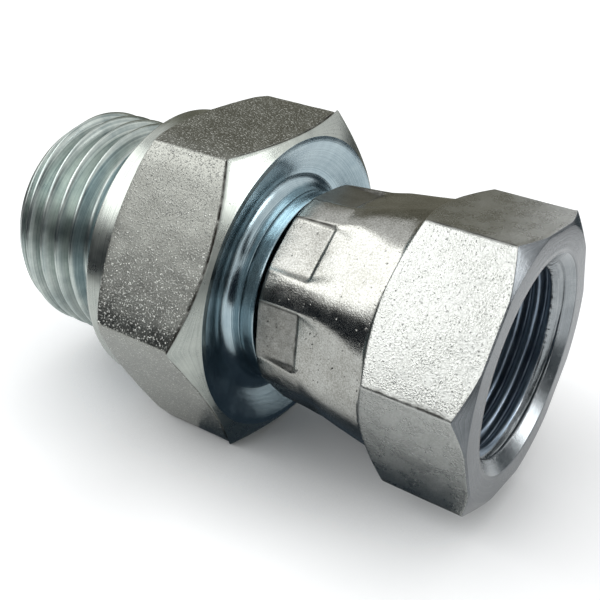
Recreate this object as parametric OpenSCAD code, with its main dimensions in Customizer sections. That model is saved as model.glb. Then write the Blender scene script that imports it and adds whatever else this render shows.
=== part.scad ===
// Straight hydraulic adaptor: G1/2 male stud to G3/8 female swivel nut with a 60 degree cone nose.
// All lengths in mm. The frame has its origin on the axis, at the sealing face of the turned collar.
// +X runs along the axis towards the mouth of the swivel nut, +Z is up and the hexagon of the body
// has a flat on top and one below.
// Three nodes: adaptor_body (forged and turned steel), swivel_nut (crimped on the nose, turns about
// the X axis) and nose_o_ring (the seal in the cone of the nose).

// The node to draw, or all of them in their places

/* [Male thread] */

// Major diameter of the male thread (G1/2: 20.955)
stud_major_d = 20.955; // [9.728:0.001:47.803]
// Pitch of the male thread (G1/2: 1.814)
stud_pitch = 1.814; // [0.907:0.001:2.309]
// Length of the stud from the sealing face to its end
stud_length = 12.2; // [8:0.1:26]
// Width of the relief between thread and sealing face
stud_relief_width = 3.5; // [2:0.1:6]
// Depth of the relief under the root of the thread
stud_relief_depth = 0.3; // [0.1:0.05:0.6]
// Length of the chamfer at the end of the stud
stud_chamfer = 2; // [0.5:0.1:3]

/* [Hexagon of the body] */

// Size across the flats of the body
body_across_flats = 27; // [19:1:60]
// Length from the sealing face to the rim of the dished face
body_hex_end = 12.74; // [9:0.02:30]
// Width of the turned collar behind the sealing face
collar_width = 2.2; // [0.5:0.1:5]
// How far the collar stays inside the flats
collar_inset = 0.7; // [0.3:0.05:2]
// Angle of the chamfers on the hexagons
chamfer_angle = 30; // [15:1:40]
// How far the rim of the dished face stays inside the flats
rim_inset = 0.44; // [0.1:0.02:2]
// Width of the flat rim round the dished face
rim_width = 0.46; // [0.1:0.02:2]
// Angle of the dished face
dish_angle = 26; // [0:0.5:35]
// How much the forged edges of the hexagons are taken down
edge_wear = 0.05; // [0.02:0.01:0.3]

/* [Neck and nose] */

// Diameter of the neck beside the nut
neck_d = 17; // [10:0.1:40]
// Radius of the fillet between neck and dished face
neck_fillet = 0.5; // [0.2:0.1:3]
// Length of the neck from the rim to the shoulder that the nut's tail faces
neck_length = 1.5; // [0.5:0.05:5]
// Distance of the turning line on the neck from that shoulder
neck_line_back = 1.4; // [0.3:0.05:4]
// Diameter of the throat, the neck inside the tail of the nut
throat_d = 15.2; // [9:0.1:38]
// How far the keeper, the collar that holds the nut, stands out from the throat
keeper_step = 0.75; // [0.3:0.05:2]
// Width of the keeper
keeper_width = 2.2; // [1:0.1:6]
// How far the cone's large end stays inside the keeper
cone_step = 1.05; // [0.2:0.05:3]
// Length of the cone
cone_length = 2.7; // [1.5:0.1:8]

/* [Bores] */

// Diameter of the flow bore through the nose
flow_bore_d = 9; // [4:0.1:30]
// Diameter of the bore in the stud
stud_bore_d = 13; // [6:0.1:38]
// Depth of the bore in the stud
stud_bore_depth = 13.2; // [8:0.1:30]
// Width of the flat ring round the 60 degree seat at the end of the stud
seat_land = 1.2; // [0.4:0.1:4]

/* [O-ring] */

// Thickness of the cord of the O-ring
o_ring_cord = 1.3; // [1:0.1:3]
// Distance of the O-ring's centre from the large end of the cone
o_ring_setback = 1.05; // [0.8:0.05:4]

/* [Swivel nut] */

// Size across the flats of the nut
nut_across_flats = 22; // [14:1:60]
// Major diameter of the thread in the nut (G3/8: 16.662)
nut_major_d = 16.662; // [9.728:0.001:47.803]
// Minor diameter of the thread in the nut (G3/8: 14.95)
nut_minor_d = 14.95; // [8.566:0.001:44.845]
// Pitch of the thread in the nut (G3/8: 1.337)
nut_pitch = 1.337; // [0.907:0.001:2.309]
// Gap between the shoulder of the neck and the nut's tail
tail_gap = 0.85; // [0.2:0.05:2]
// Distance from the tip of the nose to the innermost turn of the nut's thread
thread_setback = 1.25; // [0.3:0.05:5]
// Length of the thread in the nut with its countersink
nut_thread_length = 9.7; // [5:0.1:25]
// Length of the nut's hexagon at its corners, up to its mouth
nut_hex_length = 7.88; // [4:0.02:25]
// Angle of the shoulder between the tail and the hexagon
shoulder_angle = 28.4; // [10:0.1:45]
// How far the mouth's chamfer starts outside the flats
mouth_outset = 0.16; // [0:0.02:1]
// Diameter of the countersink at the mouth
countersink_d = 18; // [10:0.1:50]
// How far the nut is turned in the photo
nut_turn = 7.8; // [-30:0.1:30]

/* [Tail of the nut] */

// Radial room between the throat and the lip that the crimp forms
lip_gap = 0.25; // [0.05:0.05:0.6]
// Length of the lip, and of the straight part of the tail round it
lip_length = 2.3; // [1:0.1:8]
// Length over which the lip opens to the chamber behind the thread
lip_slope = 1.2; // [0.5:0.1:5]
// Radial room between the keeper and the chamber
keeper_gap = 0.2; // [0.05:0.05:0.6]
// Thickness of the lip
lip_wall = 1.65; // [0.6:0.05:5]
// Length of the steep part of the tail's taper
tail_taper = 3.6; // [1:0.1:10]
// Gain in radius over that part
tail_rise = 0.75; // [0:0.05:3]
// Gain in radius from there to the shoulder
tail_top_rise = 0.6; // [0:0.05:3]
// Number of crimp pads
pad_count = 8; // [4:1:16]
// Depth of the pads at the end of the tail
pad_depth = 0.32; // [0.1:0.02:0.8]
// Width of a pad
pad_width = 4.8; // [1:0.1:12]
// Length of a pad
pad_length = 3.8; // [1:0.1:10]
// Turn of the first pad from the flat of the nut
pad_turn = -3; // [-22:0.5:22]

/* [Hidden] */

$fn = 96;
// Overlap of cutters beyond the faces that they open
cut = 1;
// Flank angle of the Whitworth form
flank = 27.5;
// Depth of the Whitworth form and width of its flat crests, as parts of the pitch
form_depth = 0.640327;
form_crest = 1 / 6;

stud_major_r = stud_major_d / 2;
stud_root_r = stud_major_r - form_depth * stud_pitch;
stud_relief_r = stud_root_r - stud_relief_depth;
stud_flank = form_depth * stud_pitch * tan(flank);
stud_crest = form_crest * stud_pitch;
// Centre of the crest nearest to the relief
stud_first_x = -stud_relief_width - stud_flank - stud_crest / 2 - stud_relief_depth / 2;
stud_turns = ceil((stud_length + stud_first_x) / stud_pitch) + 1;
collar_r = body_across_flats / 2 - collar_inset;
collar_edge = 0.2;
relief_fillet = 0.4;

body_flat_r = body_across_flats / 2;
body_corner_r = body_flat_r / cos(30);
rim_r = body_flat_r - rim_inset;
dish_r = rim_r - rim_width;
neck_r = neck_d / 2;
// Corner where the dished face would meet the neck, and the points where the fillet leaves both
dish_corner_x = body_hex_end - (dish_r - neck_r) * tan(dish_angle);
fillet_run = neck_fillet / tan((90 - dish_angle) / 2);
fillet_x = dish_corner_x + fillet_run;
neck_end = body_hex_end + neck_length;
neck_line_x = neck_end - neck_line_back;
line_depth = 0.06;
line_width = 0.14;

throat_r = throat_d / 2;
keeper_r = throat_r + keeper_step;
shoulder_edge = 0.15;
// The nut's lip and its slope, and the keeper's flank set off from them by the axial play of the nut
tail_x = neck_end + tail_gap;
lip_r = throat_r + lip_gap;
chamber_r = keeper_r + keeper_gap;
slope_x = tail_x + lip_length;
slope_rate = lip_slope / (chamber_r - lip_r);
play = 0.35;
keeper_foot_x = slope_x + (throat_r - lip_r) * slope_rate + play;
keeper_top_x = slope_x + (keeper_r - lip_r) * slope_rate + play;
keeper_end = keeper_top_x + keeper_width;
cone_r = keeper_r - cone_step;
tip_r = cone_r - cone_length * tan(30);
nose_x = keeper_end + cone_length;

flow_r = flow_bore_d / 2;
stud_bore_r = stud_bore_d / 2;
stud_end_r = stud_root_r - 0.1;
seat_r = stud_end_r - seat_land;
seat_depth = (seat_r - stud_bore_r) / tan(30);
stud_bore_end = stud_bore_depth - stud_length;

// The O-ring lies on the floor of its groove and stands a little proud of the cone
cord_r = o_ring_cord / 2;
o_ring_x = keeper_end + o_ring_setback;
cone_r_at_ring = cone_r - o_ring_setback * tan(30);
o_ring_proud = 0.18;
o_ring_r = cone_r_at_ring + o_ring_proud - cord_r;
groove_r = o_ring_r - cord_r;
groove_half = cord_r + 0.15;

nut_flat_r = nut_across_flats / 2;
nut_corner_r = nut_flat_r / cos(30);
nut_thread_x = nose_x + thread_setback;
mouth_x = nut_thread_x + nut_thread_length;
mouth_r = nut_flat_r + mouth_outset;
hex_x = mouth_x - nut_hex_length;
tail_r = lip_r + lip_wall;
tail_mid_x = slope_x + tail_taper;
tail_mid_r = tail_r + tail_rise;
tail_big_r = tail_mid_r + tail_top_rise;
pad_distance = tail_r - pad_depth;
// Where the shoulder cone would meet the tail
shoulder_x = hex_x - (nut_corner_r - tail_big_r) * tan(shoulder_angle);
shoulder_blend = 0.45;
nut_major_r = nut_major_d / 2;
nut_minor_r = nut_minor_d / 2;
nut_flank = (nut_major_r - nut_minor_r) * tan(flank);
nut_crest = form_crest * nut_pitch;
nut_first_x = nut_thread_x + nut_crest / 2 + 0.1;
nut_turns = ceil((mouth_x - nut_first_x) / nut_pitch);
countersink_r = countersink_d / 2;

// Turns a profile drawn as [x, radius] points into a solid round the X axis
module turned(points) {
  rotate([90, 0, 90])
    rotate_extrude()
      polygon([for (p = points) [p[1], p[0]]]);
}

// Hexagonal prism along X with a flat on top
module hexagon(across, x0, x1) {
  translate([x0, 0, 0])
    rotate([0, 90, 0])
      rotate([0, 0, 30])
        cylinder(h = x1 - x0, r = across / 2 / cos(30), $fn = 6);
}

// Blank of the male thread: rings of the true pitch and flank angle on the root
module stud_rings() {
  crests = [for (i = [stud_turns - 1:-1:0]) stud_first_x - i * stud_pitch];
  half = stud_crest / 2;
  turned(concat(
    [[crests[0] - half - stud_flank, 0], [crests[0] - half - stud_flank, stud_root_r]],
    [for (c = crests)
      each [[c - half - stud_flank, stud_root_r], [c - half, stud_major_r],
        [c + half, stud_major_r], [c + half + stud_flank, stud_root_r]]],
    [[-stud_relief_width, stud_relief_r], [-stud_relief_width, 0]]));
}

module stud() {
  intersection() {
    stud_rings();
    turned([
      [-stud_length, 0],
      [-stud_length, stud_end_r],
      [-stud_length + stud_chamfer, stud_major_r + cut / 10],
      [cut, stud_major_r + cut / 10],
      [cut, 0]]);
  }
  turned([
    [-stud_relief_width - cut, 0],
    [-stud_relief_width - cut, stud_relief_r],
    [-relief_fillet, stud_relief_r],
    [0, stud_relief_r + relief_fillet],
    [cut, stud_relief_r + relief_fillet],
    [cut, 0]]);
}

// The turned collar and the hexagon with its chamfers
module body_block() {
  turned([
    [0, 0],
    [0, collar_r - collar_edge],
    [collar_edge, collar_r],
    [collar_width + cut / 2, collar_r],
    [collar_width + cut / 2, 0]]);
  intersection() {
    hexagon(body_across_flats, collar_width, body_hex_end);
    turned([
      [collar_width, 0],
      [collar_width, collar_r],
      [collar_width + (body_corner_r - edge_wear - collar_r) * tan(chamfer_angle),
        body_corner_r - edge_wear],
      [body_hex_end - (body_corner_r - edge_wear - rim_r) * tan(chamfer_angle),
        body_corner_r - edge_wear],
      [body_hex_end, rim_r],
      [body_hex_end, 0]]);
  }
}

// The groove that the dished face and the neck leave in the block
module dish() {
  steps = 8;
  centre_x = fillet_x;
  centre_r = neck_r + neck_fillet;
  turned(concat(
    [[body_hex_end + cut, dish_r + cut / tan(dish_angle)]],
    [for (i = [0:steps])
      let (a = -dish_angle + (90 + dish_angle) * i / steps)
        [centre_x - neck_fillet * cos(a), centre_r - neck_fillet * sin(a)]],
    [[body_hex_end + cut, neck_r]]));
}

// Neck, throat, retaining collar and cone nose
module nose() {
  turned([
    [dish_corner_x - cut, 0],
    [dish_corner_x - cut, neck_r],
    [neck_line_x - line_width / 2, neck_r],
    [neck_line_x, neck_r - line_depth],
    [neck_line_x + line_width / 2, neck_r],
    [neck_end - shoulder_edge, neck_r],
    [neck_end, neck_r - shoulder_edge],
    [neck_end, throat_r],
    [keeper_foot_x, throat_r],
    [keeper_top_x, keeper_r],
    [keeper_end - collar_edge, keeper_r],
    [keeper_end, keeper_r - collar_edge],
    [keeper_end, cone_r],
    [nose_x, tip_r],
    [nose_x, 0]]);
}

module flow_way() {
  turned([
    [-stud_length - cut, 0],
    [-stud_length - cut, seat_r + cut * tan(30)],
    [-stud_length + seat_depth, stud_bore_r],
    [stud_bore_end, stud_bore_r],
    [stud_bore_end + (stud_bore_r - flow_r) * tan(30), flow_r],
    [nose_x + cut, flow_r],
    [nose_x + cut, 0]]);
}

module adaptor_body() {
  color("silver")
    difference() {
      union() {
        stud();
        difference() {
          body_block();
          dish();
        }
        nose();
      }
      flow_way();
      turned([
        [o_ring_x - groove_half, groove_r],
        [o_ring_x - groove_half, keeper_r],
        [o_ring_x + groove_half, keeper_r],
        [o_ring_x + groove_half, groove_r]]);
    }
}

// Outside of the nut: tail, shoulder and hexagon with the chamfer at its mouth
module nut_blank() {
  corner = nut_corner_r - edge_wear;
  tail_edge = 0.15;
  turned([
    [tail_x, 0],
    [tail_x, tail_r - tail_edge],
    [tail_x + tail_edge, tail_r],
    [slope_x, tail_r],
    [tail_mid_x, tail_mid_r],
    [shoulder_x - shoulder_blend, tail_big_r],
    [shoulder_x, tail_big_r],
    [shoulder_x, 0]]);
  intersection() {
    hexagon(nut_across_flats, shoulder_x - cut, mouth_x);
    turned([
      [shoulder_x - shoulder_blend, 0],
      [shoulder_x - shoulder_blend, tail_big_r],
      [shoulder_x + shoulder_blend * sin(shoulder_angle),
        tail_big_r + shoulder_blend * cos(shoulder_angle)],
      [hex_x - edge_wear * tan(shoulder_angle), corner],
      [mouth_x - (corner - mouth_r) * tan(chamfer_angle), corner],
      [mouth_x, mouth_r],
      [mouth_x, 0]]);
  }
}

// Everything that the tools take out of the nut: mouth, thread, chamber and the way through the lip
module nut_way() {
  crests = [for (i = [0:nut_turns - 1]) nut_first_x + i * nut_pitch];
  half = nut_crest / 2;
  turned([
    [tail_x - cut, 0],
    [tail_x - cut, lip_r],
    [slope_x, lip_r],
    [slope_x + lip_slope, chamber_r],
    [nut_thread_x - (chamber_r - nut_minor_r) * tan(30), chamber_r],
    [nut_thread_x, nut_minor_r],
    [mouth_x + cut, nut_minor_r],
    [mouth_x + cut, 0]]);
  intersection() {
    turned(concat(
      [[nut_thread_x, nut_minor_r - cut], [nut_thread_x, nut_minor_r]],
      [for (c = crests)
        each [[c + half, nut_minor_r], [c + half + nut_flank, nut_major_r],
          [c + nut_pitch - half - nut_flank, nut_major_r], [c + nut_pitch - half, nut_minor_r]]],
      [[crests[nut_turns - 1] + nut_pitch - half, nut_minor_r - cut]]));
    turned([
      [nut_thread_x, 0],
      [nut_thread_x, nut_major_r + cut],
      [mouth_x + cut, nut_major_r + cut],
      [mouth_x + cut, 0]]);
  }
  turned([
    [mouth_x - (countersink_r - nut_minor_r) - cut, 0],
    [mouth_x - (countersink_r - nut_minor_r), nut_minor_r],
    [mouth_x + cut, countersink_r + cut],
    [mouth_x + cut, 0]]);
}

module swivel_nut() {
  color("gainsboro")
    rotate([-nut_turn, 0, 0])
      difference() {
        nut_blank();
        nut_way();
        for (i = [0:pad_count - 1])
          rotate([-pad_turn - i * 360 / pad_count, 0, 0])
            translate([tail_x - cut, -pad_width / 2, pad_distance])
              cube([pad_length + cut, pad_width, tail_big_r]);
      }
}

module nose_o_ring() {
  color("dimgray")
    translate([o_ring_x, 0, 0])
      rotate([0, 90, 0])
        rotate_extrude()
          translate([o_ring_r, 0])
            circle(r = cord_r);
}

adaptor_body();
swivel_nut();
nose_o_ring();
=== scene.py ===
"""Looks of the straight hydraulic adaptor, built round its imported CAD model.

Sizes are in mm and become metres when a mesh is written. X runs along the axis towards the mouth of
the swivel nut, Z is up and the origin lies at the sealing face of the turned collar. Angles round
the axis are measured from +Z towards +Y.
"""

import math

import bmesh
import bpy
import numpy as np
from mathutils import Matrix, Vector, noise


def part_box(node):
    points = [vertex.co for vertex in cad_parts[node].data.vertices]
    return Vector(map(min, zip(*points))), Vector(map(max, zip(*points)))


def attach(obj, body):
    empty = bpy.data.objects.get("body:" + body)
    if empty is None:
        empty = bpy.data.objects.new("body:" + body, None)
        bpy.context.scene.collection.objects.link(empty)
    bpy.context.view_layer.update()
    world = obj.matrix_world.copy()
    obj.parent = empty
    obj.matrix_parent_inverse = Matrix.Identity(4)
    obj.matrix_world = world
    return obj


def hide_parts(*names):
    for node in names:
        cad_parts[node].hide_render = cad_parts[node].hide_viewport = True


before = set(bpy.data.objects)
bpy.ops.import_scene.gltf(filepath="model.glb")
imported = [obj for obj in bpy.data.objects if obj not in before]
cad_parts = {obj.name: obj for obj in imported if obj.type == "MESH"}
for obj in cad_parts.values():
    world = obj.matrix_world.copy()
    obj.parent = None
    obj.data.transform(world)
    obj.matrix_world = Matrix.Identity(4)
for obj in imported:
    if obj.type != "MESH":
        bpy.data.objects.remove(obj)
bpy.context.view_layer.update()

MM = 0.001
TURN = 2 * math.pi
SIXTH = math.pi / 3

# Sizes of the adaptor, as in its CAD model to 0.01 mm

body_low, body_high = (np.array(corner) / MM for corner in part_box("adaptor_body"))
nut_low, nut_high = (np.array(corner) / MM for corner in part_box("swivel_nut"))
ring_low, ring_high = (np.array(corner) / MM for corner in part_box("nose_o_ring"))

stud_end_x = body_low[0]
nose_x = body_high[0]
body_flat = body_high[2]
tail_x = nut_low[0]
mouth_x = nut_high[0]

# Male thread G1/2
stud_major_r = 10.4775
stud_pitch = 1.814
stud_chamfer = 2.0
stud_tip_r = 9.2155
relief_r = 9.0155
relief_fillet = 0.4

# Turned collar and hexagon of the body
collar_r = 12.8
collar_x = 2.2
rim_x = 12.74
rim_r = 13.06
dish_r = 12.6
dish_angle = math.radians(26)
chamfer_angle = math.radians(30)

# Neck and nose
neck_r = 8.5
neck_x = 14.24
neck_line_x = 12.84
throat_r = 7.6
keeper_r = 8.35
keeper_foot_x = 17.31
keeper_top_x = 18.6
keeper_x = 20.8
cone_r = 7.3
tip_r = 5.74

# Bores
flow_r = 4.5
stud_bore_r = 6.5
stud_bore_x = 1.0
seat_r = 8.0155

# O-ring and its groove
ring_x = (ring_low[0] + ring_high[0]) / 2
cord_r = (ring_high[0] - ring_low[0]) / 2
ring_r = ring_high[2] - cord_r
groove_r = ring_r - cord_r
groove_half = cord_r + 0.15

# Swivel nut with the female thread G3/8
nut_turn = math.radians(7.8)
nut_flat = 11.0
nut_corner_r = nut_flat / math.cos(SIXTH / 2)
lip_r = 7.85
lip_x = 17.39
lip_slope_x = 18.59
chamber_r = 8.55
tail_r = 9.5
tail_mid_x = 20.99
tail_mid_r = 10.25
tail_big_r = 10.85
nut_hex_x = 26.57
shoulder_angle = math.radians(28.4)
mouth_r = 11.16
countersink_r = 9.0
nut_major_r = 8.331
nut_minor_r = 7.475
nut_pitch = 1.337
nut_thread_x = 24.75

# Crimp pads on the nut's tail
pad_count = 8
pad_turn = math.radians(-3)
pad_distance = 9.18
pad_half_width = 2.4
pad_length = 3.8

# Finer sizes, which only the scene has

# Roundings of the body's edges. The dish runs into the neck in one sweep.
stud_end_edge = 0.08
collar_edge = 0.15
collar_foot = 0.1
hex_left_edge = 0.25
hex_right_edge = 0.05
body_corner_radius = 0.36
rim_edge = 0.04
neck_fillet = 1.2
neck_edge = 0.05
keeper_shoulder = 0.2
keeper_edge = 0.15
nose_edge = 0.1
seat_edge = 0.05

# Roundings of the nut's edges, and the least step from its mouth out to its hexagon
lip_edge = 0.1
lip_slope_edge = 0.2
tail_edge = 0.2
shoulder_foot = 0.5
shoulder_foot_back = 0.1
shoulder_edge = 0.3
nut_corner_radius = 0.3
mouth_edge = 0.05
mouth_step = 0.15
countersink_edge = 0.06
chamber_edge = 0.1

# Helix of the male thread: where a crest crosses the top of the stud, the shares of the pitch that
# are flat on the crests and at the roots, and the rounding between them and the flanks
stud_crest_x = -4.83
stud_crest = 0.17
stud_root = 0.14
stud_thread_rounding = 0.12
# Height over the crests at which the stud's chamfer would end
stud_chamfer_over = 0.1
# The thread runs out at this slope into its relief, and reaches nearer the collar than the CAD's
runout_slope = 2.2
relief_x = -2.9

# Helix of the female thread: where a crest crosses the top of the nut, the shares of the pitch that
# are flat on the crests and at the roots, their rounding, and the length over which it deepens at
# its inner end
nut_crest_x = 25.2
nut_crest = 0.3
nut_root = 0.12
nut_thread_rounding = 0.06
nut_thread_start = 0.5
# Burrs at its first edge: their size, their height as a share of the depth under the mouth, and the
# depths where they start, are full and end
burr_size = 0.22
burr_share = 0.14
burr_start = 0.5
burr_full = 1.3
burr_end = 1.6

# Skin of the forgings: the height and size of its long and its short waves. It is sunk so that its
# highest waves come level with the CAD's flats, and on the body it starts outside the collar.
body_swell = 0.035
body_swell_size = 6
body_ripple = 0.02
body_ripple_size = 1.4
nut_swell = 0.04
nut_swell_size = 3.5
nut_ripple = 0.012
nut_ripple_size = 0.9
skin_sink = 0.03
skin_start = 0.3
# The body's flats roll over towards their corners by this much, over this width
corner_roll = 0.16
corner_roll_width = 0.75

# Line that the chamfer's tool has torn into the right edge of each flat of the body: its depth,
# its distance from the edge, its half width, and the widths that its rows and its form take up
torn_depth = 0.07
torn_back = 0.2
torn_half_width = 0.09
torn_rows = 0.45
torn_reach = 0.5
# It is ragged: an even part, a fine and a coarse uneven part with their sizes, and the most of all
torn_even = 0.75
torn_fine = 0.9
torn_fine_size = 0.3
torn_coarse = 0.7
torn_coarse_size = 1.3
torn_most = 1.4
# The grime in it, with painted shade for the shadow of its burr
torn_dirt_and_shade_back = 0.16
torn_dirt_and_shade_half_width = 0.14

# Line round the neck
neck_line_depth = 0.03

# Flash that the mould has left on the O-ring, as a share of the cord
flash_share = 0.03

# Each crimp pad lies a step under the trough that it runs out into, and has a thin ridge along its
# lower side, as the camera sees it. Its sides turn down over a narrow strip, which is wider by
# pad_soft_side at the lower one.
pad_step = 0.09
pad_step_from = -0.12
pad_step_to = 0.08
pad_rounding = 0.03
pad_side_in = 0.08
pad_side_out = 0.1
pad_soft_side = 0.25
pad_ridge = 0.05
pad_line_half_width = 0.07
pad_end_blur = 0.1
# Troughs behind the pads: how they rise, narrow and soften with each mm
trough_length = 9
trough_rise = 0.22
trough_narrowing = 0.5
trough_softening = 0.35
# Low lobes between the troughs: half their height, and how far past the pads they have risen,
# start to fade and end
lobe_height = 0.09
lobe_risen = 1.5
lobe_fade = 4.5
lobe_end = 7.5
# The tail swells by this much from a line past the pads' ends on
pad_foot_x = tail_x + 4.3
pad_foot_rise = 0.4

# Grime and painted shade on the nut, as shares of the full dark tone. Every second pad is painted
# darker, as shade, on its floor and at its end; all floors are bruised.
other_pad_floor_dirt = 0.1
shaded_pad_floor_dirt = 0.36
floor_patchiness = 0.3
# The dark band at each pad's end is painted shade of the pad's shaded end wall
pad_end_shade = 0.5
other_pad_end_share = 0.5
shaded_pad_end_share = 1.3
pad_end_back = 0.03
pad_end_half_width = 0.09
pad_end_reach = 0.2
# Grime along the pads' lower sides, and painted shade along their upper sides, where their walls
# lie in shade
lower_side_dirt = 0.35
upper_side_shade = 0.6
pad_side_off = 0.02
# A darker line along a corner of each of the nut's flats
corner_dark_line = 0.9
corner_dark_line_off = 0.12
corner_dark_line_half_width = 0.1
# Its patches: their size, and how even and how uneven they are
patch_size = 0.6
patch_even = 0.7
patch_uneven = 1.1

# Settings of the meshes

# Rows of faces round each rounded corner of a section, and the length of faces round a larger one
corner_rows = 3
arc_step = 0.2
# Wedges that a spun piece is put together from, and how near doubles lie that close it
wedges = 12
double_distance = 0.002
# Columns of faces round each piece, and those that gather within an angle of a hexagon's corner
body_columns = 384
nut_columns = 396
ring_columns = 144
cord_columns = 28
gathered_columns = 5
gathered_angle = math.radians(1)

# Shaping tools


def rounded_corner(corner, back, ahead, rounding):
    """Points round a corner of a section, where back and ahead point along its two sides."""
    if rounding == 0:
        return [corner]
    half = math.acos(np.clip(np.dot(back, ahead), -1, 1)) / 2
    reach = rounding / math.tan(half)
    centre = corner + (back + ahead) / np.linalg.norm(back + ahead) * rounding / math.sin(half)
    start = corner + back * reach - centre
    end = corner + ahead * reach - centre
    swing = math.pi - 2 * half
    arc_rows = max(corner_rows, round(rounding * swing / arc_step))
    points = []
    for k in range(arc_rows + 1):
        share = k / arc_rows
        arm = math.sin((1 - share) * swing) * start + math.sin(share * swing) * end
        points.append(centre + arm / math.sin(swing))
    return points


def section(stops):
    """Points of a closed half section, and the finish from each point to the next.

    A stop is (x, radius, rounding, rows, finish): a corner, the radius that rounds it, and the rows
    of faces and the finish from there to the next stop.
    """
    count = len(stops)
    corners = [np.array(stop[:2], float) for stop in stops]
    arcs = []
    for i, (_, _, rounding, _, _) in enumerate(stops):
        back = corners[i - 1] - corners[i]
        ahead = corners[(i + 1) % count] - corners[i]
        back /= np.linalg.norm(back)
        ahead /= np.linalg.norm(ahead)
        arcs.append(rounded_corner(corners[i], back, ahead, rounding))
    points, finishes = [], []
    for i, (_, _, _, rows, finish) in enumerate(stops):
        first = arcs[i][-1]
        last = arcs[(i + 1) % count][0]
        points += arcs[i]
        points += [first + (last - first) * step / rows for step in range(1, rows)]
        finishes += [finish] * (len(arcs[i]) + rows - 1)
    return np.array(points), finishes


def hexagon_reach(flat, corner_radius, angle):
    """Distance from the axis to a hexagon with rounded corners and a flat on top."""
    off_flat = np.abs((angle + SIXTH / 2) % SIXTH - SIXTH / 2)
    off_corner = SIXTH / 2 - off_flat
    centre = (flat - corner_radius) / math.cos(SIXTH / 2)
    tangent = math.atan((flat - corner_radius) * math.tan(SIXTH / 2) / flat)
    inside = np.maximum(corner_radius ** 2 - (centre * np.sin(off_corner)) ** 2, 0)
    rounded = centre * np.cos(off_corner) + np.sqrt(inside)
    return np.where(off_flat < tangent, flat / np.cos(off_flat), rounded)


def gather_at_corners(angle, columns):
    """Moves evenly spaced columns closer together at the corners of a hexagon."""
    per_side = columns / 6
    phase = ((angle - SIXTH / 2) / SIXTH) % 1
    near = gathered_columns / per_side
    close = gathered_angle / SIXTH
    gathered = np.interp(phase, [0, near, 1 - near, 1], [0, close, 1 - close, 1])
    return angle + (gathered - phase) * SIXTH


def grain(points, size, seed):
    """Smooth noise from -1 to 1 at each point, with bumps about size mm across."""
    shift = Vector((seed * 7.31, seed * 3.17, seed * 5.59))
    return np.array([noise.noise(Vector(p) / size + shift) for p in points])


def ease(low, high, value):
    """0 below low, 1 above high and a smooth rise between them."""
    t = np.clip((value - low) / (high - low), 0, 1)
    return t * t * (3 - 2 * t)


def hump(off, half_width):
    """1 at the middle of a line or ridge, and next to nothing two half widths off it."""
    return np.exp(-(off / half_width) ** 2)


def around(x, r, angle):
    """Points from places along, out from and round the axis."""
    return np.stack([x, r * np.sin(angle), r * np.cos(angle)], axis=1)


def soft_least(a, b, rounding):
    """The smaller of two values, with a rounded change from one to the other."""
    return (a + b - np.sqrt((a - b) ** 2 + rounding ** 2)) / 2


def thread_depth(phase, pitch, crest, root, rounding):
    """Depth of a thread under its crests, with 55 degree flanks and a crest at phase 0.

    crest and root are the shares of the pitch that lie flat on top and at the bottom.
    """
    half_flank = math.tan(math.radians(55 / 2))
    full = (1 - crest - root) / 2 * pitch / half_flank
    off = np.abs((phase + 0.5) % 1 - 0.5) * pitch
    flank = (off - crest / 2 * pitch) / half_flank
    return soft_least(-soft_least(-flank, 0, rounding), full, rounding)


def spun_mesh(name, points, finishes, columns, slots):
    """A section's points spun round the axis to a closed mesh, and the row of each vertex."""
    rows = len(finishes)
    bm = bmesh.new()
    row_layer = bm.verts.layers.int.new("row")
    loop = []
    for i, (x, r) in enumerate(points):
        vertex = bm.verts.new((x, 0, r))
        vertex[row_layer] = i
        loop.append(vertex)
    edges = [bm.edges.new((loop[i - 1], loop[i])) for i in range(rows)]
    # One wedge is spun face by face, and copies of it close the ring, which is much quicker
    bmesh.ops.spin(
        bm, geom=loop + edges, cent=(0, 0, 0), axis=(1, 0, 0),
        angle=TURN / wedges, steps=columns // wedges)
    bmesh.ops.spin(
        bm, geom=bm.verts[:] + bm.edges[:] + bm.faces[:], cent=(0, 0, 0), axis=(1, 0, 0),
        angle=TURN * (wedges - 1) / wedges, steps=wedges - 1, use_duplicate=True)
    bmesh.ops.remove_doubles(bm, verts=bm.verts, dist=double_distance)
    for face in bm.faces:
        found = {vertex[row_layer] for vertex in face.verts}
        first = rows - 1 if {0, rows - 1} <= found else min(found)
        face.material_index = slots.index(finishes[first])
        face.smooth = True
    bmesh.ops.recalc_face_normals(bm, faces=bm.faces)
    row = np.array([vertex[row_layer] for vertex in bm.verts])
    mesh = bpy.data.meshes.new(name)
    bm.to_mesh(mesh)
    bm.free()
    return mesh, row


def place_piece(mesh, materials):
    """Puts a finished mesh in the scene, with its materials, at the origin."""
    for material in materials:
        mesh.materials.append(material)
    piece = bpy.data.objects.new(mesh.name, mesh)
    bpy.context.scene.collection.objects.link(piece)
    return piece


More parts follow.
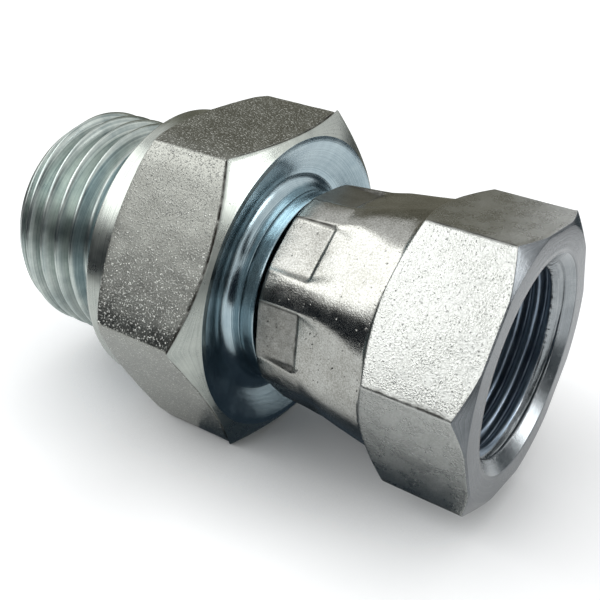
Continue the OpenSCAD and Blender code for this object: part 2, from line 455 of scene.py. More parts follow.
def spun_piece(name, outline, reaches, reach_at, shape, columns, materials, turn=0.0):
    """One closed piece, its section spun round the axis and then shaped.

    outline(reach) gives the section where the hexagon is reach mm from the axis, reach_at(angle)
    that distance, and shape(x, r, angle, finish) the radius of each point and how much grime and
    painted shade it has.
    materials has one for each finish.
    """
    sections = [section(outline(reach)) for reach in reaches]
    tables = np.array([points for points, _ in sections])
    finishes = sections[0][1]
    mesh, row = spun_mesh(name, tables[-1], finishes, columns, list(materials))

    coords = np.empty(len(mesh.vertices) * 3)
    mesh.vertices.foreach_get("co", coords)
    start = coords.reshape(-1, 3)
    angle = gather_at_corners(np.arctan2(start[:, 1], start[:, 2]), columns)
    reach = np.clip(reach_at(angle), reaches[0], reaches[-1])
    upper = np.clip(np.searchsorted(reaches, reach, side="right"), 1, len(reaches) - 1)
    low, high = np.array(reaches)[upper - 1], np.array(reaches)[upper]
    share = ((reach - low) / (high - low))[:, None]
    place = tables[upper - 1, row] * (1 - share) + tables[upper, row] * share
    x = place[:, 0]
    r, dirt_and_shade = shape(x, place[:, 1], angle, np.array(finishes)[row])
    mesh.vertices.foreach_set("co", (around(x, r, angle + turn) * MM).ravel())

    lengths = np.linalg.norm(np.diff(tables[-1], axis=0), axis=1)
    travel = np.concatenate([[0], np.cumsum(lengths)])
    for mark, values in (("travel", travel[row]), ("dirt_and_shade", dirt_and_shade)):
        mesh.attributes.new(mark, "FLOAT", "POINT").data.foreach_set("value", values)
    mesh.update()
    return place_piece(mesh, materials.values())


# Adaptor body


def body_reach(angle):
    """Distance from the axis to the body's hexagon."""
    return hexagon_reach(body_flat, body_corner_radius, angle)


def body_outline(reach):
    """Section of the body, from the end of the stud over the outside and back through the bores."""
    left_x = collar_x + (reach - collar_r) * math.tan(chamfer_angle)
    right_x = rim_x - (reach - rim_r) * math.tan(chamfer_angle)
    dish_x = rim_x - (dish_r - neck_r) * math.tan(dish_angle)
    cone_slope = (cone_r - tip_r) / (nose_x - keeper_x)
    groove_start = ring_x - groove_half
    groove_end = ring_x + groove_half
    drill_end_x = stud_bore_x + (stud_bore_r - flow_r) * math.tan(SIXTH / 2)
    seat_x = stud_end_x + (seat_r - stud_bore_r) / math.tan(SIXTH / 2)
    return [
        (stud_end_x, seat_r, stud_end_edge, 4, "turned"),
        (stud_end_x, stud_tip_r, stud_end_edge, 86, "thread"),
        (relief_x, relief_r, 0, 4, "turned"),
        (0, relief_r, relief_fillet, 5, "turned"),
        (0, collar_r, collar_edge, 5, "collar"),
        (collar_x, collar_r, collar_foot, 5, "forged"),
        (left_x, reach, hex_left_edge, 18, "forged"),
        (right_x - torn_rows, reach, 0, 6, "forged"),
        (right_x, reach, hex_right_edge, 5, "collar"),
        (rim_x, rim_r, rim_edge, 2, "turned"),
        (rim_x, dish_r, rim_edge, 6, "turned"),
        (dish_x, neck_r, neck_fillet, 2, "turned"),
        (neck_line_x - neck_line_depth, neck_r, 0, 1, "turned"),
        (neck_line_x, neck_r - neck_line_depth, 0, 1, "turned"),
        (neck_line_x + neck_line_depth, neck_r, 0, 3, "turned"),
        (neck_x, neck_r, neck_edge, 3, "turned"),
        (neck_x, throat_r, 0, 2, "turned"),
        (keeper_foot_x, throat_r, 0, 2, "turned"),
        (keeper_top_x, keeper_r, keeper_shoulder, 2, "turned"),
        (keeper_x, keeper_r, keeper_edge, 2, "turned"),
        (keeper_x, cone_r, 0, 2, "turned"),
        (groove_start, cone_r - cone_slope * (groove_start - keeper_x), 0, 2, "turned"),
        (groove_start, groove_r, 0, 2, "turned"),
        (groove_end, groove_r, 0, 2, "turned"),
        (groove_end, cone_r - cone_slope * (groove_end - keeper_x), 0, 3, "turned"),
        (nose_x, tip_r, nose_edge, 4, "turned"),
        (nose_x, flow_r, nose_edge, 3, "bored"),
        (drill_end_x, flow_r, 0, 2, "bored"),
        (stud_bore_x, stud_bore_r, 0, 3, "bored"),
        (seat_x, stud_bore_r, seat_edge, 5, "turned"),
    ]


def stud_radius(x, angle):
    """The male thread, with its chamfer at the end of the stud and its run-out at the relief."""
    phase = (x - stud_crest_x) / stud_pitch + angle / TURN
    depth = thread_depth(phase, stud_pitch, stud_crest, stud_root, stud_thread_rounding)
    chamfer_rise = (stud_major_r + stud_chamfer_over - stud_tip_r) / stud_chamfer
    chamfer = stud_tip_r + (x - stud_end_x) * chamfer_rise
    runout = relief_r + np.maximum(relief_x - x, 0) * runout_slope
    return np.minimum(np.minimum(stud_major_r - depth, chamfer), runout)


def body_shape(x, r, angle, finish):
    """Cuts the thread, and gives the flats their uneven skin, rolled corners and torn line, which
    is darkened with grime and painted shade.
    """
    r = r.copy()
    cut = finish == "thread"
    r[cut] = stud_radius(x[cut], angle[cut])

    points = around(x, r, angle)
    on_flat = (finish == "forged") & (r > collar_r + skin_start)
    skin_points = points[on_flat]
    swell = body_swell * grain(skin_points, body_swell_size, 1)
    ripple = body_ripple * grain(skin_points, body_ripple_size, 2)
    r[on_flat] += swell + ripple - skin_sink
    off_corner = (SIXTH / 2 - np.abs((angle + SIXTH / 2) % SIXTH - SIXTH / 2)) * body_flat
    r[on_flat] -= corner_roll * hump(off_corner, corner_roll_width)[on_flat]

    edge_x = rim_x - (body_reach(angle) - rim_r) * math.tan(chamfer_angle)
    back = edge_x - x
    by_edge = (finish != "thread") & (r > rim_r) & (np.abs(back) < torn_reach)
    fine = torn_fine * grain(points[by_edge], torn_fine_size, 5)
    coarse = torn_coarse * grain(points[by_edge], torn_coarse_size, 6)
    ragged = np.zeros_like(x)
    ragged[by_edge] = torn_even + fine + coarse
    ragged = np.clip(ragged, 0, torn_most)
    r -= torn_depth * ragged * hump(back - torn_back, torn_half_width)
    # The torn line is painted darker: grime, and painted shade for the shadow of its burr
    torn_dirt_and_shade = ragged * np.exp(-((back - torn_dirt_and_shade_back) / torn_dirt_and_shade_half_width) ** 4)
    dirt_and_shade = np.clip(torn_dirt_and_shade, 0, 1)
    return r, dirt_and_shade


# Swivel nut


def nut_reach(angle):
    """Distance from the axis to the nut's hexagon."""
    return hexagon_reach(nut_flat, nut_corner_radius, angle)


def nut_outline(reach):
    """Section of the nut, from the lip over the outside and back through the thread."""
    shoulder_x = nut_hex_x - (nut_corner_r - reach) * math.tan(shoulder_angle)
    foot_x = nut_hex_x - (nut_corner_r - tail_big_r) * math.tan(shoulder_angle)
    rim = min(mouth_r, reach - mouth_step)
    edge_x = mouth_x - (reach - rim) * math.tan(chamfer_angle)
    chamber_x = nut_thread_x - (chamber_r - nut_minor_r) * math.tan(SIXTH / 2)
    return [
        (tail_x, lip_r, lip_edge, 4, "turned"),
        (tail_x, tail_r, tail_edge, 28, "crimped"),
        (pad_foot_x, tail_r + pad_foot_rise, 0, 6, "crimped"),
        (tail_mid_x, tail_mid_r, 0, 6, "crimped"),
        (foot_x - shoulder_foot_back, tail_big_r, shoulder_foot, 7, "crimped"),
        (shoulder_x, reach, shoulder_edge, 30, "flat"),
        (edge_x, reach, mouth_edge, 4, "faced"),
        (mouth_x, rim, mouth_edge, 5, "faced"),
        (mouth_x, countersink_r, countersink_edge, 4, "sunk"),
        (mouth_x - (countersink_r - nut_major_r), nut_major_r, 0, 9, "sunk"),
        (mouth_x - (countersink_r - nut_minor_r), nut_minor_r, 0, 80, "tapped"),
        (nut_thread_x, nut_minor_r, chamber_edge, 3, "turned"),
        (chamber_x, chamber_r, chamber_edge, 8, "turned"),
        (lip_slope_x, chamber_r, lip_slope_edge, 4, "turned"),
        (lip_x, lip_r, lip_slope_edge, 5, "turned"),
    ]


def tapped_radius(x, r, angle):
    """The female thread, the countersink that opens it, and the burrs at its first edge."""
    # Its roots are shaped as the crests of a male thread, half a turn from its own crests
    phase = (x - nut_crest_x) / nut_pitch + angle / TURN + 0.5
    depth = thread_depth(phase, nut_pitch, nut_root, nut_crest, nut_thread_rounding)
    start = ease(nut_thread_x, nut_thread_x + nut_thread_start, x)
    thread = nut_minor_r + (nut_major_r - depth - nut_minor_r) * start
    deep = mouth_x - x
    by_mouth = deep < burr_end
    torn = np.zeros_like(x)
    torn[by_mouth] = grain(around(x, r, angle)[by_mouth], burr_size, 8)
    burr = burr_share * torn * ease(burr_start, burr_full, deep)
    countersink = countersink_r - deep * (1 + burr)
    return np.maximum(thread, countersink)


def pad_place(x, angle):
    """Angle and distance off the middle of the nearest pad, and distance past its end."""
    step = TURN / pad_count
    off_pad = (angle - pad_turn + step / 2) % step - step / 2
    return off_pad, np.abs(pad_distance * np.tan(off_pad)), x - (tail_x + pad_length)


def pad_grip(off_pad, side, past):
    """1 where a pad or its trough is pressed in and 0 beside it, with a softer lower edge."""
    trough = np.clip(past, 0, trough_length)
    soft = pad_soft_side * (off_pad < 0)
    return 1 - ease(
        pad_half_width - pad_side_in - soft - trough_narrowing * trough,
        pad_half_width + pad_side_out + soft + trough_softening * trough, side)


def pressed_radius(x, r, angle):
    """The tail, with its pads pressed in, and the soft troughs and low lobes behind them."""
    off_pad, side, past = pad_place(x, angle)
    trough = np.clip(past, 0, trough_length)
    lobe = lobe_height * (1 + np.cos(pad_count * off_pad))
    r = r - lobe * ease(0, lobe_risen, past) * (1 - ease(lobe_fade, lobe_end, past))
    step = pad_step * ease(pad_step_from, pad_step_to, past)
    floor_r = pad_distance + step + trough_rise * trough
    pressed = soft_least(r, floor_r / np.cos(off_pad), pad_rounding)
    r += (pressed - r) * pad_grip(off_pad, side, past)
    beside = 1 - ease(-pad_end_blur, pad_end_blur, past)
    ridge = hump(side - pad_half_width - pad_side_out, pad_line_half_width) * beside
    return r + pad_ridge * ridge * (off_pad < 0)


def pad_dirt_and_shade(x, angle, patchy):
    """Darkening along the pads: painted shade at their ends and upper sides, grime at their lower
    sides, bruised floors, and painted shade on the floor and end of every second pad.
    """
    off_pad, side, past = pad_place(x, angle)
    shaded_pad = np.round((angle - pad_turn) / (TURN / pad_count)) % 2 == 0
    within = 1 - ease(pad_half_width, pad_half_width + pad_end_reach, side)
    end = hump(past + pad_end_back, pad_end_half_width) * within
    end *= np.where(shaded_pad, shaded_pad_end_share, other_pad_end_share)
    floor = np.where(shaded_pad, shaded_pad_floor_dirt, other_pad_floor_dirt)
    floor = floor * pad_grip(off_pad, side, past) * (past < 0)
    beside = 1 - ease(-pad_end_blur, pad_end_blur, past)
    by_side = hump(side - pad_half_width - pad_side_off, pad_line_half_width) * beside
    side_dirt_and_shade = np.where(
        off_pad < 0, lower_side_dirt * patchy, upper_side_shade * (1 + patchy))
    floor = floor * (1 - floor_patchiness + floor_patchiness * patchy)
    return pad_end_shade * patchy * end + floor + side_dirt_and_shade * by_side


def nut_shape(x, r, angle, finish):
    """Cuts the thread, presses the crimp pads, and gives the nut its forged skin, the grime and
    painted shade at its pads, and a darker line along a corner of each flat.
    """
    r = r.copy()
    cut = np.isin(finish, ("tapped", "sunk"))
    tail = finish == "crimped"
    flat = finish == "flat"
    r[cut] = tapped_radius(x[cut], r[cut], angle[cut])
    r[tail] = pressed_radius(x[tail], r[tail], angle[tail])

    skin = tail | flat
    points = around(x, r, angle)[skin]
    swell = nut_swell * grain(points, nut_swell_size, 3)
    ripple = nut_ripple * grain(points, nut_ripple_size, 4)
    r[skin] += swell + ripple - skin_sink
    patchy = np.zeros_like(x)
    patchy[skin] = np.clip(patch_even + patch_uneven * grain(points, patch_size, 7), 0, 1)
    dirt_and_shade = np.zeros_like(x)
    dirt_and_shade[tail] = pad_dirt_and_shade(x[tail], angle[tail], patchy[tail])
    off_corner = ((angle % SIXTH) - SIXTH / 2) * nut_corner_r
    by_corner = hump(off_corner - corner_dark_line_off, corner_dark_line_half_width)
    dirt_and_shade[flat] = (corner_dark_line * patchy * by_corner)[flat]
    return r, np.clip(dirt_and_shade, 0, 1)


# O-ring


def o_ring_piece(name, material):
    """The seal in the groove of the nose, with the flash of its mould at the inside and outside."""
    bm = bmesh.new()
    made = bmesh.ops.create_circle(bm, segments=cord_columns, radius=cord_r)
    for vertex in made["verts"]:
        out = vertex.co.copy()
        at_seam = max(0.0, abs(out.y) / cord_r - (1 - flash_share)) / flash_share
        out *= 1 - flash_share + flash_share * at_seam
        vertex.co = Vector((ring_x + out.x, 0, ring_r + out.y))
    bmesh.ops.spin(
        bm, geom=bm.verts[:] + bm.edges[:], cent=(0, 0, 0), axis=(1, 0, 0),
        angle=TURN, steps=ring_columns, use_merge=True)
    bmesh.ops.recalc_face_normals(bm, faces=bm.faces)
    bmesh.ops.scale(bm, vec=(MM, MM, MM), verts=bm.verts)
    for face in bm.faces:
        face.smooth = True
    mesh = bpy.data.meshes.new(name)
    bm.to_mesh(mesh)
    bm.free()
    return place_piece(mesh, [material])


# Materials

# Old grease and dust in the burrs and tool lines, and the dark tone of the painted shade at the
# torn line and the pads
dirt_and_shade_colour = "#26231f"
dirt_and_shade_roughness = 0.6


def linear(hex_colour):
    """Linear colour of an sRGB hex value."""
    parts = [int(hex_colour[i:i + 2], 16) / 255 for i in (1, 3, 5)]
    return tuple(((c + 0.055) / 1.055) ** 2.4 if c > 0.04045 else c / 12.92 for c in parts) + (1.0,)


def add_node(tree, kind, inputs=None, **settings):
    """Adds a node with its settings, and fills its inputs with values or other nodes' outputs."""
    node = tree.nodes.new(kind)
    for name, value in settings.items():
        setattr(node, name, value)
    for key, value in (inputs or {}).items():
        if isinstance(value, bpy.types.NodeSocket):
            tree.links.new(value, node.inputs[key])
        else:
            node.inputs[key].default_value = value
    return node


def new_material(name):
    """A material and its node tree, which is still empty."""
    material = bpy.data.materials.new(name)
    material.use_nodes = True
    tree = material.node_tree
    tree.nodes.clear()
    return material, tree


def zinc_with_dirt_and_shade(tree, tint, roughness, relief):
    """Finishes a zinc material: its tint, roughness and relief, and the grime and painted shade
    that its mesh carries.
    """
    dirt_and_shade = add_node(tree, "ShaderNodeAttribute", attribute_name="dirt_and_shade")
    colour = add_node(
        tree, "ShaderNodeMix",
        {0: dirt_and_shade.outputs["Fac"], 6: tint, 7: linear(dirt_and_shade_colour)}, data_type="RGBA")
    rough = add_node(
        tree, "ShaderNodeMix",
        {0: dirt_and_shade.outputs["Fac"], 2: roughness, 3: dirt_and_shade_roughness}, data_type="FLOAT")
    shader = add_node(
        tree, "ShaderNodeBsdfPrincipled",
        {"Base Color": colour.outputs[2], "Roughness": rough.outputs[0], "Metallic": 1.0,
         "Normal": relief})
    add_node(tree, "ShaderNodeOutputMaterial", {"Surface": shader.outputs[0]})


def zinc_on_turned_steel(name, dark, light, roughness, ring_mm, ring_depth):
    """Bright zinc with a clear blue passivation on turned steel.

    The rings of the tool draw each reflection out across them, and the passivation gives a cold
    sheen with soft clouds. ring_mm is the tool's feed and ring_depth the height of its rings in mm.
    """
    material, tree = new_material(name)
    cloud_mm = 2.5
    place = add_node(tree, "ShaderNodeTexCoord")
    travel = add_node(tree, "ShaderNodeAttribute", attribute_name="travel")
    rings = add_node(
        tree, "ShaderNodeTexNoise",
        {"W": travel.outputs["Fac"], "Scale": 1 / ring_mm, "Detail": 3.0, "Roughness": 0.7},
        noise_dimensions="1D")
    cloud = add_node(
        tree, "ShaderNodeTexNoise",
        {"Vector": place.outputs["Object"], "Scale": 1 / (cloud_mm * MM), "Detail": 5.0,
         "Roughness": 0.65})
    tone = add_node(
        tree, "ShaderNodeMix",
        {0: 0.5, 2: cloud.outputs["Fac"], 3: rings.outputs["Fac"]}, data_type="FLOAT")
    share = add_node(
        tree, "ShaderNodeMapRange", {"Value": tone.outputs[0], "From Min": 0.35, "From Max": 0.65})
    tint = add_node(
        tree, "ShaderNodeMix",
        {0: share.outputs[0], 6: linear(dark), 7: linear(light)}, data_type="RGBA")
    rough = add_node(
        tree, "ShaderNodeMapRange",
        {"Value": cloud.outputs["Fac"], "From Min": 0.3, "From Max": 0.7,
         "To Min": roughness - 0.04, "To Max": roughness + 0.06})
    relief = add_node(
        tree, "ShaderNodeBump",
        {"Height": rings.outputs["Fac"], "Strength": 1.0, "Distance": ring_depth * MM})
    zinc_with_dirt_and_shade(tree, tint.outputs[2], rough.outputs[0], relief.outputs[0])
    return material


def zinc_on_forging(
        name, dark, light, mark, roughness, mark_mm, mark_from, mark_depth, grit_mm, grit_depth):
    """Zinc on a forging that was blasted with shot: a grey skin with fine marks, whose tint on the
    body's flats is a painted glint.

    The marks are mark_mm across and stand up where mark_depth is positive, and are pits where it is
    negative. mark_from is the share of their noise that stays bare. grit_mm is the grain of the
    skin, which is finer on the real one and is drawn as coarse as it needs to show. All depths are
    in mm.
    """
    material, tree = new_material(name)
    cloud_mm = 2.2
    place = add_node(tree, "ShaderNodeTexCoord")
    grit = add_node(
        tree, "ShaderNodeTexNoise",
        {"Vector": place.outputs["Object"], "Scale": 1 / (grit_mm * MM), "Detail": 2.0,
         "Roughness": 0.6})
    cloud = add_node(
        tree, "ShaderNodeTexNoise",
        {"Vector": place.outputs["Object"], "Scale": 1 / (cloud_mm * MM), "Detail": 5.0,
         "Roughness": 0.65})
    spots = add_node(
        tree, "ShaderNodeTexNoise",
        {"Vector": place.outputs["Object"], "Scale": 1 / (mark_mm * MM), "Detail": 1.0,
         "Roughness": 0.5})
    marks = add_node(
        tree, "ShaderNodeMapRange",
        {"Value": spots.outputs["Fac"], "From Min": mark_from, "From Max": mark_from + 0.22},
        interpolation_type="SMOOTHSTEP")
    tone = add_node(
        tree, "ShaderNodeMix",
        {0: 0.4, 2: grit.outputs["Fac"], 3: cloud.outputs["Fac"]}, data_type="FLOAT")
    share = add_node(
        tree, "ShaderNodeMapRange", {"Value": tone.outputs[0], "From Min": 0.36, "From Max": 0.64})
    tint = add_node(
        tree, "ShaderNodeMix",
        {0: share.outputs[0], 6: linear(dark), 7: linear(light)}, data_type="RGBA")
    marks_and_glints_tint = add_node(
        tree, "ShaderNodeMix",
        {0: marks.outputs[0], 6: tint.outputs[2], 7: linear(mark)}, data_type="RGBA")
    rough = add_node(
        tree, "ShaderNodeMapRange",
        {"Value": cloud.outputs["Fac"], "From Min": 0.3, "From Max": 0.7,
         "To Min": roughness - 0.05, "To Max": roughness + 0.07})
    raised = add_node(
        tree, "ShaderNodeBump",
        {"Height": marks.outputs[0], "Strength": 1.0, "Distance": abs(mark_depth) * MM},
        invert=mark_depth < 0)
    relief = add_node(
        tree, "ShaderNodeBump",
        {"Height": grit.outputs["Fac"], "Strength": 1.0, "Distance": grit_depth * MM,
         "Normal": raised.outputs[0]})
    zinc_with_dirt_and_shade(tree, marks_and_glints_tint.outputs[2], rough.outputs[0], relief.outputs[0])
    return material


def turned_finish():
    """The dish, neck and nose: a fine cut left them smooth, so they are brightest and bluest."""
    return zinc_on_turned_steel(
        "zinc_plated_turned_steel", dark="#81949d", light="#b2c2c7", roughness=0.19,
        ring_mm=0.1, ring_depth=0.007)


def collar_finish():
    """The collar and the body's chamfers, turned with a wider feed: warmer and a little softer."""
    return zinc_on_turned_steel(
        "zinc_plated_turned_collar", dark="#8f9490", light="#b8bdb6", roughness=0.27,
        ring_mm=0.14, ring_depth=0.006)


def thread_finish():
    """The male thread, which is pale and satin."""
    return zinc_on_turned_steel(
        "zinc_plated_thread", dark="#7f8c8c", light="#d0d8d2", roughness=0.31,
        ring_mm=0.1, ring_depth=0.006)


def bored_finish():
    """The bores, which show the coarse rings of the drill."""
    return zinc_on_turned_steel(
        "zinc_plated_bore", dark="#80878b", light="#a4aaad", roughness=0.3,
        ring_mm=0.2, ring_depth=0.010)


def faced_finish():
    """The nut's end face and its chamfer: dull grey zinc, tinted darker as painted shade for the
    shaded table that they reflect.
    """
    return zinc_on_turned_steel(
        "zinc_plated_faced_mouth", dark="#54585b", light="#7b7f82", roughness=0.24,
        ring_mm=0.12, ring_depth=0.010)


def sunk_finish():
    """The nut's countersink, cut like the face round it, but brighter."""
    return zinc_on_turned_steel(
        "zinc_plated_countersink", dark="#7a7f83", light="#a6abad", roughness=0.24,
        ring_mm=0.12, ring_depth=0.010)


def tapped_finish():
    """The female thread, which little zinc reaches, so it stays a soft blue grey."""
    return zinc_on_turned_steel(
        "zinc_plated_tapped_thread", dark="#6d7b8b", light="#98a5b0", roughness=0.36,
        ring_mm=0.1, ring_depth=0.006)


def forged_finish():
    """The body's flats, as the forge and the shot left them: mid grey with fine specks, whose pale
    tint is a painted glint on their raised tops.
    """
    # The pale mark tint is a painted glint on the specks
    return zinc_on_forging(
        "zinc_plated_shot_blasted_forging", dark="#777873", light="#a0a29c", mark="#dfe1db",
        roughness=0.32, mark_mm=0.16, mark_from=0.56, mark_depth=0.055,
        grit_mm=0.09, grit_depth=0.014)


def crimped_finish():
    """The nut's tail, which the crimp pressed smooth, so it shines, with a few small pits."""
    return zinc_on_forging(
        "zinc_plated_crimped_tail", dark="#85857f", light="#b3b4b0", mark="#5d5a54",
        roughness=0.2, mark_mm=0.3, mark_from=0.68, mark_depth=-0.04,
        grit_mm=0.13, grit_depth=0.010)


def nut_flat_finish():
    """The nut's flats, which are the palest, with an orange-peel skin."""
    return zinc_on_forging(
        "zinc_plated_nut_flat", dark="#959793", light="#babcb9", mark="#8b8d8a",
        roughness=0.27, mark_mm=0.17, mark_from=0.62, mark_depth=-0.02,
        grit_mm=0.13, grit_depth=0.03)


def nitrile_rubber(name):
    """Moulded nitrile rubber: soft black with a dusty bloom."""
    material, tree = new_material(name)
    bloom_mm = 0.8
    bloom_depth = 0.02
    place = add_node(tree, "ShaderNodeTexCoord")
    bloom = add_node(
        tree, "ShaderNodeTexNoise",
        {"Vector": place.outputs["Object"], "Scale": 1 / (bloom_mm * MM), "Detail": 4.0})
    tint = add_node(
        tree, "ShaderNodeMix",
        {0: bloom.outputs["Fac"], 6: linear("#141414"), 7: linear("#2c2c2b")}, data_type="RGBA")
    relief = add_node(
        tree, "ShaderNodeBump",
        {"Height": bloom.outputs["Fac"], "Strength": 0.3, "Distance": bloom_depth * MM})
    shader = add_node(
        tree, "ShaderNodeBsdfPrincipled",
        {"Base Color": tint.outputs[2], "Roughness": 0.55, "Normal": relief.outputs[0]})
    add_node(tree, "ShaderNodeOutputMaterial", {"Surface": shader.outputs[0]})
    return material


# Stage: table, cards, lamps, world and camera

# Width of the table in metres
table_width = 6
# Distance of the bent cards from their middle, where that middle lies, and the faces of each
card_distance = 70
card_middle_x = 11
card_columns = 60
# Height, in degrees, at which a bent card meets the table
table_edge = -10.9
# The dark card that lies under the nut as a painted shadow, which only reflections show, and how
# high over the table
painted_shadow_card_x = 20
painted_shadow_card_y = 3
painted_shadow_card_length = 25
painted_shadow_card_width = 28
painted_shadow_card_lift = 0.05
# Strength of the world's light on the object, and of the table's own glow in the open
ambient_light = 0.5
table_glow = 0.5
# Reach in mm of the shadow that the object lays on the table's glow
glow_shadow = 14
# Distance in metres of both lamps from the origin
lamp_distance = 0.4
# Place, bearing, height, roll and lens of the camera, fitted to the photograph's outlines
camera_place = (51.993, -59.56, 38.446)
camera_bearing = math.radians(33.127)
camera_height = math.radians(29.322)
camera_roll = math.radians(2.053)
camera_lens = 55.4


def seen_share(tree):
    """1 for the rays that look at the background: camera, glossy and transmission rays."""
    path = add_node(tree, "ShaderNodeLightPath")
    either = add_node(
        tree, "ShaderNodeMath",
        {0: path.outputs["Is Camera Ray"], 1: path.outputs["Is Glossy Ray"]}, operation="MAXIMUM")
    share = add_node(
        tree, "ShaderNodeMath",
        {0: either.outputs[0], 1: path.outputs["Is Transmission Ray"]}, operation="MAXIMUM")
    return share.outputs[0]


def white_world():
    """A white studio all round, whose light on the object is held to a plain level."""
    world = bpy.data.worlds.new("white_studio")
    bpy.context.scene.world = world
    world.use_nodes = True
    tree = world.node_tree
    tree.nodes.clear()
    white = linear("#ffffff")
    light = add_node(tree, "ShaderNodeBackground", {"Color": white, "Strength": ambient_light})
    seen = add_node(tree, "ShaderNodeBackground", {"Color": white, "Strength": 1.0})
    mixed = add_node(
        tree, "ShaderNodeMixShader",
        {0: seen_share(tree), 1: light.outputs[0], 2: seen.outputs[0]})
    add_node(tree, "ShaderNodeOutputWorld", {"Surface": mixed.outputs[0]})


def matt_white_table():
    """Matt white table top that keeps the shadow, and glows a little where it lies in the open."""
    material, tree = new_material("matt_white_table")
    paint = add_node(
        tree, "ShaderNodeBsdfPrincipled",
        {"Base Color": linear("#e6e8e9"), "Roughness": 0.9, "Specular IOR Level": 0.1})
    openness = add_node(
        tree, "ShaderNodeAmbientOcclusion", {"Distance": glow_shadow * MM}, samples=8)
    strength = add_node(
        tree, "ShaderNodeMapRange",
        {"Value": openness.outputs["AO"], "From Min": 0.3, "From Max": 1.0, "To Max": table_glow})
    glow = add_node(
        tree, "ShaderNodeEmission",
        {"Color": linear("#ffffff"), "Strength": strength.outputs[0]})
    no_glow = add_node(tree, "ShaderNodeEmission", {"Color": linear("#000000"), "Strength": 0.0})
    seen_glow = add_node(
        tree, "ShaderNodeMixShader",
        {0: seen_share(tree), 1: no_glow.outputs[0], 2: glow.outputs[0]})
    both = add_node(tree, "ShaderNodeAddShader", {0: paint.outputs[0], 1: seen_glow.outputs[0]})
    add_node(tree, "ShaderNodeOutputMaterial", {"Surface": both.outputs[0]})
    return material


def card_paper(name, colour):
    """Paper of a studio card, which metal reflects at an even tone."""
    material, tree = new_material(name + "_paper")
    tone = add_node(tree, "ShaderNodeEmission", {"Color": linear(colour), "Strength": 1.0})
    add_node(tree, "ShaderNodeOutputMaterial", {"Surface": tone.outputs[0]})
    return material


def level_sheet(name, centre, width, depth, material):
    """A level rectangle that faces up, with its centre and sizes in metres."""
    bm = bmesh.new()
    bmesh.ops.create_grid(
        bm, x_segments=1, y_segments=1, size=0.5,
        matrix=Matrix.Translation(Vector(centre)) @ Matrix.Diagonal((width, depth, 1, 1)))
    mesh = bpy.data.meshes.new(name)
    bm.to_mesh(mesh)
    bm.free()
    return place_piece(mesh, [material])


def bent_card(name, edges, colour):
    """A card bent round the object.

    edges lists a bearing, in degrees from -Y towards +X, and the heights of the lower and the upper
    edge there, in degrees over the horizon.
    """
    bearings, lows, highs = zip(*edges)
    bm = bmesh.new()
    bmesh.ops.create_grid(bm, x_segments=card_columns, y_segments=1, size=0.5)
    for vertex in bm.verts:
        bearing = bearings[0] + (bearings[-1] - bearings[0]) * (vertex.co.x + 0.5)
        edge = np.interp(bearing, bearings, highs if vertex.co.y > 0 else lows)
        turn = math.radians(bearing)
        vertex.co = Vector((
            card_middle_x + card_distance * math.sin(turn),
            -card_distance * math.cos(turn),
            card_distance * math.tan(math.radians(edge)))) * MM
    mesh = bpy.data.meshes.new(name)
    bm.to_mesh(mesh)
    bm.free()
    return place_piece(mesh, [card_paper(name, colour)])


def standing_card(name, tops, colour):
    """A bent card that stands on the table: tops lists its bearings and upper edges."""
    return bent_card(name, [(bearing, table_edge, top) for bearing, top in tops], colour)


def soft_lamp(name, bearing, height, width, tall, power):
    """A softbox at a bearing and height in degrees, with its sizes in metres, facing the object."""
    turn, rise = math.radians(bearing), math.radians(height)
    towards = Vector((
        math.sin(turn) * math.cos(rise), -math.cos(turn) * math.cos(rise), math.sin(rise)))
    lamp = bpy.data.lights.new(name, "AREA")
    lamp.shape = "RECTANGLE"
    lamp.size = width
    lamp.size_y = tall
    lamp.energy = power
    holder = bpy.data.objects.new(name, lamp)
    holder.location = towards * lamp_distance
    holder.rotation_euler = (-holder.location).to_track_quat("-Z", "Y").to_euler()
    bpy.context.scene.collection.objects.link(holder)


def photo_camera():
    """The camera at the photograph's place, turned and rolled as there."""
    back = Vector((
        math.sin(camera_bearing) * math.cos(camera_height),
        -math.cos(camera_bearing) * math.cos(camera_height),
        math.sin(camera_height)))
    right = Vector((math.cos(camera_bearing), math.sin(camera_bearing), 0))
    up = back.cross(right)
    rolled_right = right * math.cos(camera_roll) + up * math.sin(camera_roll)
    rolled_up = up * math.cos(camera_roll) - right * math.sin(camera_roll)
    facing = Matrix((rolled_right, rolled_up, back)).transposed().to_4x4()
    camera_data = bpy.data.cameras.new("photo_camera")
    camera_data.sensor_width = 36
    camera_data.lens = camera_lens
    camera_data.clip_start = 0.001
    camera_data.clip_end = 20
    camera = bpy.data.objects.new("photo_camera", camera_data)
    camera.matrix_world = Matrix.Translation(Vector(camera_place) * MM) @ facing
    bpy.context.scene.collection.objects.link(camera)
    bpy.context.scene.camera = camera


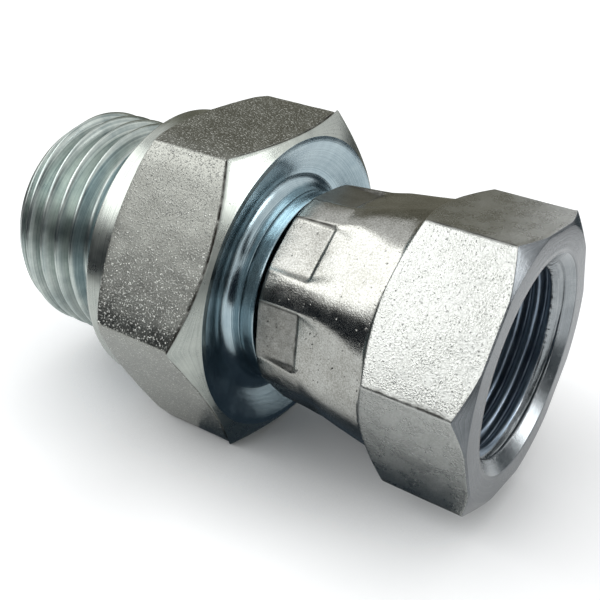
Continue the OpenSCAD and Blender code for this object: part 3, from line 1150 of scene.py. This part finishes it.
def set_stage():
    """White table and world, two softboxes, the camera, and the cards.

    Only reflections show the cards, which give the zinc its dark bands; the one under the nut is a
    painted shadow in them.
    """
    table_z = -body_flat * MM
    table = level_sheet("table", (0, 0, table_z), table_width, table_width, matt_white_table())
    painted_shadow_place = (painted_shadow_card_x * MM, painted_shadow_card_y * MM, table_z + painted_shadow_card_lift * MM)
    front = standing_card(
        "front_card",
        [(-98, 2), (-80, 6), (-60, 12), (-40, 22), (-20, 28), (0, 30), (25, 28), (40, 22), (52, 8)],
        "#101a24")
    right = standing_card(
        "right_card", [(62, 2), (75, 4), (110, 3), (130, 6), (182, 8)], "#3c464c")
    back = standing_card(
        "back_card", [(178, 44), (210, 48), (235, 46), (248, 25), (262, 6)], "#7d7b6e")
    side = standing_card("side_card", [(66, 8), (72, 14), (97, 13)], "#10171c")
    high = bent_card("high_card", [(28, 32, 44), (42, 27, 48), (78, 27, 46)], "#222d34")
    # Dark card under the nut, which the zinc reflects as a painted shadow
    under = level_sheet(
        "painted_shadow_card", painted_shadow_place, painted_shadow_card_length * MM, painted_shadow_card_width * MM,
        card_paper("painted_shadow_card", "#323b43"))
    for card in (front, right, back, side, high, under):
        card.visible_camera = False
        card.visible_diffuse = False
        card.visible_shadow = False
    white_world()
    soft_lamp("key_softbox", bearing=-52, height=43, width=0.6, tall=0.24, power=1.0)
    soft_lamp("side_softbox", bearing=111, height=14, width=0.15, tall=0.16, power=0.44)
    photo_camera()
    bpy.context.scene.view_settings.view_transform = "Standard"


# The stage and the three pieces

set_stage()

turned = turned_finish()
at_corner = np.array([SIXTH / 2])
body_reaches = [body_flat, float(body_reach(at_corner)[0])]
adaptor = spun_piece(
    "adaptor_body_steel", body_outline, body_reaches, body_reach, body_shape, body_columns,
    {"turned": turned, "thread": thread_finish(), "collar": collar_finish(),
     "forged": forged_finish(), "bored": bored_finish()})
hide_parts("adaptor_body")
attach(adaptor, "adaptor")

nut_reaches = [nut_flat, mouth_r + mouth_step, float(nut_reach(at_corner)[0])]
nut = spun_piece(
    "swivel_nut_steel", nut_outline, nut_reaches, nut_reach, nut_shape, nut_columns,
    {"crimped": crimped_finish(), "flat": nut_flat_finish(), "faced": faced_finish(),
     "sunk": sunk_finish(), "turned": turned, "tapped": tapped_finish()}, nut_turn)
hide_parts("swivel_nut")
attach(nut, "nut")

seal = o_ring_piece("nose_o_ring_rubber", nitrile_rubber("nitrile_rubber"))
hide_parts("nose_o_ring")
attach(seal, "adaptor")
